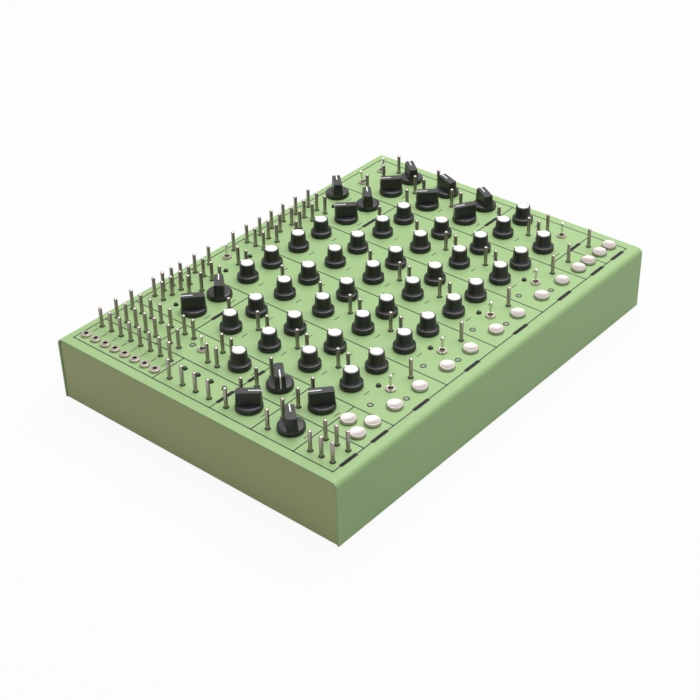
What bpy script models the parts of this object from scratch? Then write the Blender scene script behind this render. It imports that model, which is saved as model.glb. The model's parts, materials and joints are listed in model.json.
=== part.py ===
"""Desktop semi-modular drum synthesizer in a folded sheet-metal case.

Metres, +Z up, front edge towards -Y. The origin is the middle of the case's footprint, on the
surface that its feet stand on. Sizes below are written in millimetres times MM.
"""

import math

import bmesh
import bpy
from mathutils import Matrix

MM = 0.001
GAP = 0.3 * MM

# Case: a cover folded over the front, top and back, and a tray with the bottom and the sides
CASE_WIDTH = 405 * MM
CASE_DEPTH = 292 * MM
CASE_HEIGHT = 57 * MM
SHEET = 1.5 * MM
BEND_RADIUS = 5 * MM
BEND_STEPS = 4
LIP_WIDTH = 8 * MM
SIDE_INSET = 0.8 * MM
FOOT_HEIGHT = 3 * MM
FOOT_RADIUS = 8 * MM
FOOT_INSET = 30 * MM
PANEL_TOP = FOOT_HEIGHT + CASE_HEIGHT
PANEL_UNDER = PANEL_TOP - SHEET

# Boards that hang under the panel from the controls
POT_HEIGHT = 7 * MM
POT_WIDTH = 11 * MM
BOARD_THICK = 1.6 * MM
BOARD_TOP = PANEL_UNDER - GAP - POT_HEIGHT
BOARD_UNDER = BOARD_TOP - BOARD_THICK
SOLDER_DEPTH = 1 * MM

# Knob grid: five rows from the back, and five modules of two columns beside two utility columns
KNOB_ROW_PITCH = 41.8 * MM
TOP_ROW_Y = 88 * MM
MODULE_PITCH = 64.05 * MM
KNOB_SPACING = 30 * MM
FIRST_MODULE_X = -107 * MM
UTILITY_X = -140.9 * MM
EDGE_X = -174.8 * MM
BACK_KNOB_Y = 124 * MM

# Round knobs with a light cap
KNOB_SIDES = 9
KNOB_SKIRT_RADIUS = 9.15 * MM
KNOB_BODY_RADIUS = 7.2 * MM
KNOB_CAP_RADIUS = 5.8 * MM
KNOB_HEIGHT = 16.3 * MM
KNOB_SKIRT_HEIGHT = 3.2 * MM
KNOB_LIFT = 0.5 * MM
SHAFT_RADIUS = 3 * MM
SHAFT_HOLE_RADIUS = 4.8 * MM

# Pointer knobs: a low round skirt with a grip bar across it
POINTER_SIDES = 12
POINTER_RADIUS = 10.7 * MM
POINTER_SKIRT_HEIGHT = 4.8 * MM
POINTER_SHOULDER_RADIUS = 8.6 * MM
POINTER_HEIGHT = 15.5 * MM
POINTER_BAR_WIDTH = 8.4 * MM
POINTER_BAR_RADIUS = 10.3 * MM
POINTER_TAPER = 0.6 * MM

# Patch pins, soldered to the main board and standing through clearance holes
PIN_RADIUS = 1.5 * MM
PIN_HOLE_RADIUS = 2.4 * MM
PIN_HEIGHT = 18 * MM
PIN_SIDES = 4
PIN_PITCH = 16.75 * MM
FIRST_PIN_X = -185.2 * MM
MODULE_PIN_X = -94.3 * MM
UPPER_PIN_RISE = 23.8 * MM
LOWER_PIN_RISE = 13.7 * MM
FRONT_PIN_X = -70.8 * MM
FRONT_PIN_Y = -107.4 * MM
BACK_PIN_ROWS = (130.3 * MM, 120.2 * MM, 110.3 * MM, 100.7 * MM)
BACK_PIN_PITCH = 10.2 * MM

# Mini jack sockets in a column at the left edge, each on a row of pins
MINI_JACK_COUNT = 8
MINI_JACK_X = -185.3 * MM
MINI_JACK_TOP_Y = 130.5 * MM
MINI_JACK_PITCH = 11.2 * MM
MINI_BORE_RADIUS = 1.8 * MM
MINI_BUSH_RADIUS = 3 * MM
MINI_NUT_RADIUS = 4.1 * MM
MINI_NUT_HEIGHT = 2.3 * MM

# Toggle switches
TOGGLE_LEAN = math.radians(12)
TOGGLE_Y = -105.2 * MM
TOGGLE_X = -92.5 * MM
TOGGLE_BORE_RADIUS = 2.3 * MM
TOGGLE_BUSH_RADIUS = 3.1 * MM
TOGGLE_NUT_RADIUS = 4.2 * MM
TOGGLE_NUT_HEIGHT = 2.2 * MM
TOGGLE_PIVOT_DROP = 2.4 * MM
TOGGLE_LEVER_LENGTH = 14.2 * MM
BUSH_HOLE_RADIUS = 4 * MM
SOCKET_SIDES = 6
HOLE_SIDES = 4

# Touch pads on studs, status lights and recessed trimmers
PAD_RADIUS = 6.5 * MM
PAD_HEIGHT = 3.3 * MM
PAD_Y = -121 * MM
PAD_STUD_RADIUS = 2 * MM
PAD_HOLE_RADIUS = 3.4 * MM
LIGHT_RADIUS = 2.1 * MM
LIGHT_HOLE_RADIUS = 2.5 * MM
LIGHT_RISE = 2.3 * MM
TRIMMER_RADIUS = 2.3 * MM
TRIMMER_HOLE_RADIUS = 2.8 * MM

# Sockets and power switch on the back
REAR_Y = CASE_DEPTH / 2
REAR_AXIS_Z = 28 * MM
REAR_BOARD_TOP = 19.6 * MM
REAR_BODY_FRONT = 116 * MM
REAR_SIDES = 8
AUDIO_JACK_X = (60 * MM, 85 * MM, 110 * MM, 135 * MM)
DATA_SOCKET_X = 15 * MM
POWER_INLET_X = -135 * MM
POWER_SWITCH_X = -105 * MM
# Each collar as (bore radius, bush radius, collar radius, collar height, bore depth)
AUDIO_BUSH = (3.3 * MM, 4.8 * MM, 7 * MM, 2.5 * MM, 5 * MM)
DATA_COLLAR = (6.4 * MM, 7.6 * MM, 9 * MM, 1.2 * MM, 3 * MM)
INLET_COLLAR = (2.9 * MM, 4.6 * MM, 5.6 * MM, 1.2 * MM, 3 * MM)
SWITCH_HALF_WIDTH = 5 * MM
SWITCH_HALF_HEIGHT = 8 * MM
SWITCH_RIM = 2 * MM
ROCKER_TILT = math.radians(8)
ROCKER_PIVOT_DROP = 0.5 * MM
ROCKER_WIDTH = 6.6 * MM


def module_x(module, side=0):
    """The x of a module's left (0) or right (1) knob column."""
    return FIRST_MODULE_X + module * MODULE_PITCH + side * KNOB_SPACING


def row_y(row):
    """The y of a knob row, counted from the back."""
    return TOP_ROW_Y - row * KNOB_ROW_PITCH


def column_x(column):
    """The x of a knob column: 0 and 1 are the utility columns, and the rest pair up in modules."""
    if column == 0:
        return EDGE_X
    if column == 1:
        return UTILITY_X
    return module_x((column - 2) // 2, (column - 2) % 2)


def grid(columns, rows):
    return [(x, y) for x in columns for y in rows]


def pin_x(column):
    return FIRST_PIN_X + column * PIN_PITCH


def mini_jack_y(index):
    return MINI_JACK_TOP_Y - index * MINI_JACK_PITCH


def module_pins(row, rise, modules):
    """Pins between the two knob columns of these modules, behind a knob row."""
    return [(MODULE_PIN_X + m * MODULE_PITCH, row_y(row) + rise) for m in modules]


def utility_pins():
    """Pins in the four columns left of the modules."""
    jack_rows = [mini_jack_y(i) for i in range(MINI_JACK_COUNT)]
    light_rows = [36 * MM - i * 14 * MM for i in range(4)]
    front_rows = [-106.6 * MM - i * 10.5 * MM for i in range(3)]
    inner = (pin_x(2), pin_x(3))
    every = [pin_x(i) for i in range(4)]
    pairs = [row_y(row) + rise for row in (1, 2) for rise in (UPPER_PIN_RISE, LOWER_PIN_RISE)]
    return (
        grid([pin_x(1)], jack_rows)
        + grid(inner, jack_rows[:5])
        + grid(inner, pairs)
        + grid([pin_x(0)], light_rows)
        + grid(every, [row_y(3) + LOWER_PIN_RISE, row_y(4) + LOWER_PIN_RISE])
        + grid((pin_x(0), pin_x(1)), front_rows)
    )


def back_pins():
    """Pins along the back edge, behind the first knob row."""
    back, second, third, fourth = BACK_PIN_ROWS
    first_block = [-110.2 * MM + i * BACK_PIN_PITCH for i in range(4)]
    wide_block = (1 * MM, 17.7 * MM, 48.2 * MM, 64.9 * MM, 82 * MM)
    right_block = (137 * MM, 161 * MM, 183.8 * MM)
    return (
        grid(first_block, (back, second))
        + [(-90 * MM, third), (-80.2 * MM, 105.5 * MM)]
        + grid([-63 * MM], BACK_PIN_ROWS)
        + [(-46 * MM, back), (-15.8 * MM, back), (-31 * MM, third), (-31 * MM, fourth)]
        + grid(wide_block, (back, second, third))
        + grid([32.8 * MM], (back, second, fourth))
        + grid(right_block, [106.3 * MM])
    )


def front_pins():
    """Pins beside the knob rows and in the front row."""
    front_row = [FRONT_PIN_X + m * MODULE_PITCH for m in range(4)] + [145.5 * MM, 177.3 * MM]
    return (
        module_pins(1, LOWER_PIN_RISE, (0, 1, 3, 4))
        + module_pins(1, UPPER_PIN_RISE, [4])
        + [(137 * MM, row_y(1) + LOWER_PIN_RISE), (184 * MM, row_y(1) + LOWER_PIN_RISE)]
        + module_pins(2, UPPER_PIN_RISE, (0, 4))
        + module_pins(2, LOWER_PIN_RISE, range(5))
        + module_pins(3, UPPER_PIN_RISE, range(4))
        + module_pins(3, LOWER_PIN_RISE, range(5))
        + module_pins(4, UPPER_PIN_RISE, range(5))
        + module_pins(4, LOWER_PIN_RISE, range(5))
        + [(176.5 * MM, row_y(4) + LOWER_PIN_RISE)]
        + grid(front_row, [FRONT_PIN_Y])
    )


PINS = utility_pins() + back_pins() + front_pins()
MINI_JACKS = [(MINI_JACK_X, mini_jack_y(i)) for i in range(MINI_JACK_COUNT)]

# Small knobs by row, as columns that turn and columns that stay with the main board
TURNING_KNOBS = {1: [9], 2: range(1, 10), 3: range(2, 12), 4: range(2, 11)}
FIXED_KNOBS = {0: range(4, 8), 1: range(2, 9)}

# Pointer knobs as (column, row or y, direction of the pointer in degrees from +X)
POINTER_KNOBS = (
    (2, 0, 138), (3, 0, 44), (8, 0, 135), (9, 0, 44), (10, 0, 135), (11, 0, 51),
    (10, 1, 133), (11, 1, 70), (10, 2, 149), (11, 2, 60),
    (0, 3, -50), (1, 3, -133), (0, 4, 48), (1, 4, 139),
)
BACK_POINTER = (9, 46)

# Toggles as (x, y, lean to the right as -1, 0 or 1)
TOGGLES = [(TOGGLE_X + m * MODULE_PITCH, TOGGLE_Y, 0) for m in range(4)] + [
    (177.8 * MM, -79.5 * MM, 0),
    (-143 * MM, 42.8 * MM, 0),
    (-29 * MM, 126 * MM, 0),
    (147.8 * MM, 120.3 * MM, -1),
    (176.3 * MM, 121 * MM, 1),
]

PADS = [(module_x(m, side), PAD_Y) for m in range(4) for side in (0, 1)] + [
    (140.4 * MM, PAD_Y),
    (155.4 * MM, PAD_Y),
    (173 * MM, PAD_Y),
    (188 * MM, PAD_Y),
    (-150.4 * MM, PAD_Y),
    (-133 * MM, PAD_Y),
    (-141.6 * MM, TOGGLE_Y),
]

LIGHTS = (
    [(-169.3 * MM, 35.5 * MM - i * 14 * MM) for i in range(4)]
    + [(-94.5 * MM + m * MODULE_PITCH, -95.2 * MM) for m in range(4)]
    + [(-109.5 * MM, 106.3 * MM), (-45.7 * MM, 111.3 * MM), (-15.7 * MM, 111.3 * MM), (95.8 * MM, 112 * MM)]
)

BOARD_TRIMMERS = [(-116.8 * MM + m * 63.9 * MM, -105.5 * MM) for m in range(4)] + [(-142.5 * MM, 54 * MM)]
PAD_TRIMMERS = [(-94 * MM + m * 64.1 * MM, -121.5 * MM) for m in range(4)]

# Board outlines: the three boards lie in one plane and keep 0.6 mm between them
BOARD_GAP = 0.6 * MM
BOARD_LEFT = -197 * MM
BOARD_RIGHT = 196 * MM
BOARD_FRONT = -138 * MM
BOARD_BACK = 138 * MM
PAD_BOARD_BACK = -113 * MM
PAD_TAB_BACK = -98 * MM
PAD_TAB_LEFT = -158.5 * MM
PAD_TAB_RIGHT = -125 * MM
JACK_BOARD_RIGHT = -176.8 * MM
JACK_BOARD_FRONT = 47 * MM


def main_outline():
    g = BOARD_GAP
    return [
        (BOARD_LEFT, BOARD_FRONT),
        (PAD_TAB_LEFT - g, BOARD_FRONT),
        (PAD_TAB_LEFT - g, PAD_TAB_BACK + g),
        (PAD_TAB_RIGHT + g, PAD_TAB_BACK + g),
        (PAD_TAB_RIGHT + g, PAD_BOARD_BACK + g),
        (BOARD_RIGHT, PAD_BOARD_BACK + g),
        (BOARD_RIGHT, BOARD_BACK),
        (JACK_BOARD_RIGHT + g, BOARD_BACK),
        (JACK_BOARD_RIGHT + g, JACK_BOARD_FRONT - g),
        (BOARD_LEFT, JACK_BOARD_FRONT - g),
    ]


def pad_outline():
    return [
        (PAD_TAB_LEFT, BOARD_FRONT),
        (BOARD_RIGHT, BOARD_FRONT),
        (BOARD_RIGHT, PAD_BOARD_BACK),
        (PAD_TAB_RIGHT, PAD_BOARD_BACK),
        (PAD_TAB_RIGHT, PAD_TAB_BACK),
        (PAD_TAB_LEFT, PAD_TAB_BACK),
    ]


def jack_outline():
    return [
        (BOARD_LEFT, JACK_BOARD_FRONT),
        (JACK_BOARD_RIGHT, JACK_BOARD_FRONT),
        (JACK_BOARD_RIGHT, BOARD_BACK),
        (BOARD_LEFT, BOARD_BACK),
    ]


def clear_scene():
    for obj in list(bpy.data.objects):
        bpy.data.objects.remove(obj, do_unlink=True)


def make_collection(name):
    collection = bpy.data.collections.new(name)
    bpy.context.scene.collection.children.link(collection)
    return collection


def make_material(name, colour, roughness, metallic=0.0):
    material = bpy.data.materials.new(name)
    material.use_nodes = True
    shader = material.node_tree.nodes["Principled BSDF"]
    shader.inputs["Base Color"].default_value = (*colour, 1.0)
    shader.inputs["Roughness"].default_value = roughness
    shader.inputs["Metallic"].default_value = metallic
    return material


def mesh_from(bm, name):
    mesh = bpy.data.meshes.new(name)
    bmesh.ops.recalc_face_normals(bm, faces=bm.faces)
    bm.to_mesh(mesh)
    bm.free()
    return mesh


def place(mesh, name, collection, material=None, location=(0, 0, 0), turn=(0, 0, 0)):
    """A named object for this mesh, under the synthesizer's empty."""
    obj = bpy.data.objects.new(name, mesh)
    obj.location = location
    obj.rotation_euler = turn
    collection.objects.link(obj)
    if material:
        if not mesh.materials:
            mesh.materials.append(material)
        obj.parent = bpy.data.objects["synthesizer"]
    return obj


def evaluated_mesh(obj, name):
    """The object's mesh after its modifiers, with the object itself removed."""
    shape = obj.evaluated_get(bpy.context.evaluated_depsgraph_get())
    mesh = bpy.data.meshes.new_from_object(shape)
    mesh.name = name
    bpy.data.objects.remove(obj, do_unlink=True)
    return mesh


def turned(profile, sides, name):
    """A closed solid turned about Z from (radius, z) points that run down its outer side."""
    mesh = bpy.data.meshes.new(name)
    edges = [(i, i + 1) for i in range(len(profile) - 1)]
    mesh.from_pydata([(r, 0, z) for r, z in profile], edges, [])
    obj = bpy.data.objects.new(name, mesh)
    bpy.context.scene.collection.objects.link(obj)
    screw = obj.modifiers.new("Turn", "SCREW")
    screw.steps = sides
    screw.render_steps = sides
    screw.use_merge_vertices = True
    screw.merge_threshold = 0.00001
    return evaluated_mesh(obj, name)


def smooth(mesh):
    mesh.shade_smooth()
    mesh.set_sharp_from_angle(angle=math.radians(40))
    return mesh


def add_prism(bm, spot, low, high, radius, sides, top_radius=None):
    """An upright prism or frustum at (x, y)."""
    centre = Matrix.Translation((spot[0], spot[1], (low + high) / 2))
    top = radius if top_radius is None else top_radius
    bmesh.ops.create_cone(
        bm, cap_ends=True, segments=sides, radius1=radius, radius2=top, depth=high - low, matrix=centre
    )


def add_box(bm, low, high):
    middle = [(a + b) / 2 for a, b in zip(low, high)]
    size = [b - a for a, b in zip(low, high)]
    shape = Matrix.Translation(middle) @ Matrix.Diagonal((*size, 1))
    bmesh.ops.create_cube(bm, size=1, matrix=shape)


def add_mesh(bm, mesh, matrix):
    """A copy of a mesh, moved into place."""
    copy = bmesh.new()
    copy.from_mesh(mesh)
    copy.transform(matrix)
    moved = bpy.data.meshes.new("moved")
    copy.to_mesh(moved)
    copy.free()
    bm.from_mesh(moved)
    bpy.data.meshes.remove(moved)


def board_mesh(outline, top, thick, name):
    """A flat board from its outline."""
    curve = bpy.data.curves.new(name, "CURVE")
    curve.dimensions = "2D"
    curve.fill_mode = "BOTH"
    curve.extrude = thick / 2
    spline = curve.splines.new("POLY")
    spline.points.add(len(outline) - 1)
    for point, (x, y) in zip(spline.points, outline):
        point.co = (x, y, 0, 1)
    spline.use_cyclic_u = True
    obj = bpy.data.objects.new(name, curve)
    bpy.context.scene.collection.objects.link(obj)
    mesh = evaluated_mesh(obj, name)
    bm = bmesh.new()
    bm.from_mesh(mesh)
    bmesh.ops.remove_doubles(bm, verts=bm.verts, dist=0.00001)
    bmesh.ops.translate(bm, verts=bm.verts, vec=(0, 0, top - thick / 2))
    bm.to_mesh(mesh)
    bm.free()
    return mesh


def boolean(obj, tool_mesh, operation, tools):
    """Cuts or joins the object with a tool, which stays in its own collection."""
    tool = place(tool_mesh, f"{obj.name}_{tool_mesh.name}", tools)
    tool.hide_render = True
    tool.display_type = "WIRE"
    step = obj.modifiers.new(tool_mesh.name, "BOOLEAN")
    step.operation = operation
    step.solver = "EXACT"
    step.object = tool


def knob_spots(rows):
    return [(column_x(c), row_y(r)) for r, columns in rows.items() for c in columns]


def pointer_spots():
    """Pointer knobs as (name, x, y, direction)."""
    spots = [(f"pointer_knob_r{r + 1}_c{c}", column_x(c), row_y(r), turn) for c, r, turn in POINTER_KNOBS]
    column, turn = BACK_POINTER
    return spots + [("pointer_knob_back", column_x(column), BACK_KNOB_Y, turn)]


def pot_spots():
    pointers = [(x, y) for _, x, y, _ in pointer_spots()]
    return knob_spots(TURNING_KNOBS) + knob_spots(FIXED_KNOBS) + pointers


def panel_holes():
    """One prism through the panel for every control, pin and light."""
    kinds = (
        (PINS, PIN_HOLE_RADIUS, PIN_SIDES),
        (pot_spots(), SHAFT_HOLE_RADIUS, HOLE_SIDES),
        (MINI_JACKS, BUSH_HOLE_RADIUS, SOCKET_SIDES),
        ([(x, y) for x, y, _ in TOGGLES], BUSH_HOLE_RADIUS, SOCKET_SIDES),
        (PADS, PAD_HOLE_RADIUS, HOLE_SIDES),
        (LIGHTS, LIGHT_HOLE_RADIUS, SOCKET_SIDES),
        (BOARD_TRIMMERS + PAD_TRIMMERS, TRIMMER_HOLE_RADIUS, SOCKET_SIDES),
    )
    bm = bmesh.new()
    for spots, radius, sides in kinds:
        for spot in spots:
            add_prism(bm, spot, PANEL_UNDER - 2 * MM, PANEL_TOP + 2 * MM, radius, sides)
    return mesh_from(bm, "panel_holes")


def rear_turned(x):
    """Moves a shape made about Z, with z = 0 on the panel, to the back flange."""
    return Matrix.Translation((x, REAR_Y, REAR_AXIS_Z)) @ Matrix.Rotation(math.radians(-90), 4, "X")


def add_switch_box(bm, margin, low, high):
    """A box round the power switch's axis, wider than its neck by the margin."""
    across = SWITCH_HALF_WIDTH + margin
    up = SWITCH_HALF_HEIGHT + margin
    add_box(bm, (POWER_SWITCH_X - across, -up, low), (POWER_SWITCH_X + across, up, high))


def rear_openings():
    """Holes in the back flange for the sockets and the power switch."""
    sizes = [(x, 5.4 * MM) for x in AUDIO_JACK_X]
    sizes += [(DATA_SOCKET_X, 8.2 * MM), (POWER_INLET_X, 5.2 * MM)]
    through = rear_turned(0)
    bm = bmesh.new()
    for x, radius in sizes:
        add_prism(bm, (x, 0), -4 * MM, 4 * MM, radius, REAR_SIDES)
    add_switch_box(bm, 0.4 * MM, -4 * MM, 4 * MM)
    bmesh.ops.transform(bm, matrix=through, verts=bm.verts)
    return mesh_from(bm, "rear_openings")


def lip_reliefs():
    """Clears the ends of the bottom lips, where the tray's sides reach down."""
    inner = CASE_WIDTH / 2 - SIDE_INSET - 2 * SHEET - 2 * GAP
    outer = CASE_WIDTH / 2 + 1 * MM
    near = CASE_DEPTH / 2 - LIP_WIDTH - 1 * MM
    far = CASE_DEPTH / 2 - SHEET - 0.05 * MM
    bm = bmesh.new()
    for side in (-1, 1):
        for end in (-1, 1):
            xs = sorted((side * inner, side * outer))
            ys = sorted((end * near, end * far))
            add_box(bm, (xs[0], ys[0], FOOT_HEIGHT - 1 * MM), (xs[1], ys[1], FOOT_HEIGHT + SHEET + 0.4 * MM))
    return mesh_from(bm, "lip_reliefs")


def cover_surface():
    """The open outer face of the cover: two flanges, the panel and a lip under each flange."""
    bm = bmesh.new()
    add_box(
        bm,
        (-CASE_WIDTH / 2, -CASE_DEPTH / 2, FOOT_HEIGHT),
        (CASE_WIDTH / 2, CASE_DEPTH / 2, PANEL_TOP),
    )
    bm.normal_update()
    open_faces = [f for f in bm.faces if abs(f.normal.x) > 0.5 or f.normal.z < -0.5]
    bmesh.ops.delete(bm, geom=open_faces, context="FACES")
    bends = [e for e in bm.edges if all(v.co.z > PANEL_UNDER for v in e.verts) and len(e.link_faces) == 2]
    bmesh.ops.bevel(bm, geom=bends, offset=BEND_RADIUS, segments=BEND_STEPS, profile=0.5, affect="EDGES")
    for side in (-1, 1):
        foot = [
            e for e in bm.edges
            if all(v.co.z < FOOT_HEIGHT + MM and v.co.y * side > 0 for v in e.verts)
        ]
        new = bmesh.ops.extrude_edge_only(bm, edges=foot)["geom"]
        moved = [v for v in new if isinstance(v, bmesh.types.BMVert)]
        bmesh.ops.translate(bm, verts=moved, vec=(0, -side * LIP_WIDTH, 0))
    return mesh_from(bm, "top_cover")


def add_sheet(obj):
    """Gives an open outer surface the thickness of the sheet, inwards."""
    sheet = obj.modifiers.new("Sheet", "SOLIDIFY")
    sheet.thickness = SHEET
    sheet.offset = -1
    sheet.use_even_offset = True


def make_cover(parts, tools, material):
    cover = place(cover_surface(), "top_cover", parts, material)
    add_sheet(cover)
    boolean(cover, lip_reliefs(), "DIFFERENCE", tools)
    boolean(cover, panel_holes(), "DIFFERENCE", tools)
    boolean(cover, rear_openings(), "DIFFERENCE", tools)


def tray_surface():
    """The open outer face of the tray: a bottom between the cover's lips and two wider sides."""
    half_width = CASE_WIDTH / 2 - SIDE_INSET
    bottom_depth = CASE_DEPTH / 2 - LIP_WIDTH - GAP
    side_depth = CASE_DEPTH / 2 - SHEET - GAP
    side_top = PANEL_UNDER - GAP
    bm = bmesh.new()
    add_box(bm, (-half_width, -bottom_depth, FOOT_HEIGHT), (half_width, bottom_depth, side_top))
    bm.normal_update()
    open_faces = [f for f in bm.faces if abs(f.normal.y) > 0.5 or f.normal.z > 0.5]
    bmesh.ops.delete(bm, geom=open_faces, context="FACES")
    for end in (-1, 1):
        ears = [
            e for e in bm.edges
            if all(v.co.y * end > 0 for v in e.verts) and abs(e.verts[0].co.z - e.verts[1].co.z) > SHEET
        ]
        new = bmesh.ops.extrude_edge_only(bm, edges=ears)["geom"]
        moved = [v for v in new if isinstance(v, bmesh.types.BMVert)]
        bmesh.ops.translate(bm, verts=moved, vec=(0, end * (side_depth - bottom_depth), 0))
    corners = [v for v in bm.verts if abs(v.co.y) > bottom_depth + MM and v.co.z > side_top - MM]
    bmesh.ops.bevel(bm, geom=corners, offset=BEND_RADIUS, segments=2, profile=0.5, affect="VERTICES")
    return mesh_from(bm, "base_tray")


def make_tray(parts, tools, material):
    tray = place(tray_surface(), "base_tray", parts, material)
    add_sheet(tray)
    across = CASE_WIDTH / 2 - FOOT_INSET
    along = CASE_DEPTH / 2 - FOOT_INSET
    bm = bmesh.new()
    for spot in grid((-across, across), (-along, along)):
        add_prism(bm, spot, 0, FOOT_HEIGHT + SHEET / 2, FOOT_RADIUS, 12)
    boolean(tray, mesh_from(bm, "feet"), "UNION", tools)


def small_knob_mesh(shaft_end):
    """A round knob on its shaft, seen from the panel's surface up."""
    profile = [
        (0, KNOB_HEIGHT),
        (KNOB_CAP_RADIUS, KNOB_HEIGHT),
        (KNOB_BODY_RADIUS, KNOB_SKIRT_HEIGHT + 0.8 * MM),
        (KNOB_SKIRT_RADIUS, KNOB_SKIRT_HEIGHT),
        (KNOB_SKIRT_RADIUS, KNOB_LIFT),
        (SHAFT_RADIUS, KNOB_LIFT),
        (SHAFT_RADIUS, shaft_end),
        (0, shaft_end),
    ]
    return smooth(turned(profile, KNOB_SIDES, "small_knob"))


def pointer_bar():
    """The grip bar: a tapered round block with its two sides cut flat, pointing along +X."""
    bm = bmesh.new()
    low = 1.5 * MM
    add_prism(
        bm, (0, 0), low, POINTER_HEIGHT, POINTER_BAR_RADIUS, POINTER_SIDES, POINTER_BAR_RADIUS - POINTER_TAPER
    )
    for side in (-1, 1):
        cut = bmesh.ops.bisect_plane(
            bm,
            geom=bm.verts[:] + bm.edges[:] + bm.faces[:],
            plane_co=(0, side * POINTER_BAR_WIDTH / 2, 0),
            plane_no=(0, side, 0),
            clear_outer=True,
        )
        rim = [e for e in cut["geom_cut"] if isinstance(e, bmesh.types.BMEdge)]
        bmesh.ops.contextual_create(bm, geom=rim)
    return mesh_from(bm, "grip_bar")


def pointer_knob_mesh():
    """Skirt and shaft turned in one, joined with the grip bar."""
    shaft_end = -SHEET - GAP / 2
    profile = [
        (0, POINTER_SKIRT_HEIGHT),
        (POINTER_SHOULDER_RADIUS, POINTER_SKIRT_HEIGHT),
        (POINTER_RADIUS, POINTER_SKIRT_HEIGHT - 1.8 * MM),
        (POINTER_RADIUS, KNOB_LIFT),
        (SHAFT_RADIUS, KNOB_LIFT),
        (SHAFT_RADIUS, shaft_end),
        (0, shaft_end),
    ]
    scratch = bpy.context.scene.collection
    body = place(turned(profile, KNOB_SIDES, "pointer_skirt"), "pointer_skirt", scratch)
    bar = place(pointer_bar(), "grip_bar", scratch)
    join = body.modifiers.new("Join", "BOOLEAN")
    join.operation = "UNION"
    join.solver = "EXACT"
    join.object = bar
    mesh = evaluated_mesh(body, "pointer_knob")
    bpy.data.objects.remove(bar, do_unlink=True)
    return smooth(mesh)


def bushed_socket(bore, bush, nut, nut_top, bore_depth, bottom, name, sides=SOCKET_SIDES):
    """A threaded bush with its nut on the panel and a blind bore from the top, z = 0 on the panel."""
    profile = [
        (0, nut_top - bore_depth),
        (bore, nut_top - bore_depth),
        (bore, nut_top),
        (nut, nut_top),
        (nut, GAP),
        (bush, GAP),
        (bush, bottom),
        (0, bottom),
    ]
    return turned(profile, sides, name)


def toggle_bush_mesh():
    bottom = -SHEET - GAP - 1 * MM
    return bushed_socket(
        TOGGLE_BORE_RADIUS, TOGGLE_BUSH_RADIUS, TOGGLE_NUT_RADIUS, TOGGLE_NUT_HEIGHT,
        TOGGLE_NUT_HEIGHT + 2.2 * MM, bottom, "toggle_bush",
    )


def lever_mesh():
    """A toggle's lever from its pivot at z = 0: a thin neck that swells to a rounded tip."""
    length = TOGGLE_LEVER_LENGTH
    profile = [
        (0, length),
        (1.1 * MM, length - 0.4 * MM),
        (1.6 * MM, length - 2 * MM),
        (1 * MM, 2.5 * MM),
        (1 * MM, -1.4 * MM),
        (0, -1.6 * MM),
    ]
    return smooth(turned(profile, 6, "toggle_lever"))


def solder(board, mesh, tools):
    boolean(board, mesh, "UNION", tools)


def pots_and_pins():
    """Everything that stands on the main board alone: pot bodies, pins, lights, switch bodies, trimmers."""
    root = BOARD_TOP - SOLDER_DEPTH
    under = PANEL_UNDER - GAP
    half = POT_WIDTH / 2
    bm = bmesh.new()
    for x, y in pot_spots():
        add_box(bm, (x - half, y - half, root), (x + half, y + half, under))
    for spot in PINS:
        add_prism(bm, spot, root, PANEL_TOP + PIN_HEIGHT, PIN_RADIUS, PIN_SIDES)
    for spot in LIGHTS:
        add_prism(bm, spot, root, PANEL_TOP + LIGHT_RISE, LIGHT_RADIUS, 6, LIGHT_RADIUS * 0.8)
    for x, y, _ in TOGGLES:
        add_box(bm, (x - 6.3 * MM, y - 3.6 * MM, root), (x + 6.3 * MM, y + 3.6 * MM, under))
    for spot in BOARD_TRIMMERS:
        add_prism(bm, spot, root, under + 0.8 * MM, TRIMMER_RADIUS, 6)
    return mesh_from(bm, "soldered_parts")


def stamped(mesh, spots, height, name):
    """Copies of one mesh at these spots."""
    bm = bmesh.new()
    for x, y in spots:
        add_mesh(bm, mesh, Matrix.Translation((x, y, height)))
    return mesh_from(bm, name)


def make_main_board(parts, tools, material):
    outline = board_mesh(main_outline(), BOARD_TOP, BOARD_THICK, "main_board")
    board = place(outline, "main_board", parts, material)
    solder(board, pots_and_pins(), tools)
    knob = small_knob_mesh(-SHEET - GAP - 1 * MM)
    solder(board, stamped(knob, knob_spots(FIXED_KNOBS), PANEL_TOP, "fixed_knobs"), tools)
    toggle_spots = [(x, y) for x, y, _ in TOGGLES]
    solder(board, stamped(toggle_bush_mesh(), toggle_spots, PANEL_TOP, "toggle_bushes"), tools)


def make_pad_board(parts, tools, material):
    outline = board_mesh(pad_outline(), BOARD_TOP, BOARD_THICK, "touch_pad_board")
    board = place(outline, "touch_pad_board", parts, material)
    root = BOARD_TOP - SOLDER_DEPTH - PANEL_TOP
    profile = [
        (0, PAD_HEIGHT),
        (PAD_RADIUS - 1 * MM, PAD_HEIGHT - 0.4 * MM),
        (PAD_RADIUS, PAD_HEIGHT - 1.4 * MM),
        (PAD_RADIUS, 0.4 * MM),
        (PAD_STUD_RADIUS, 0.4 * MM),
        (PAD_STUD_RADIUS, root),
        (0, root),
    ]
    pad = turned(profile, KNOB_SIDES, "touch_pad")
    solder(board, stamped(pad, PADS, PANEL_TOP, "touch_pads"), tools)
    bm = bmesh.new()
    for spot in PAD_TRIMMERS:
        add_prism(bm, spot, BOARD_TOP - SOLDER_DEPTH, PANEL_UNDER + 0.5 * MM, TRIMMER_RADIUS, 6)
    solder(board, mesh_from(bm, "trimmers"), tools)


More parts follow.
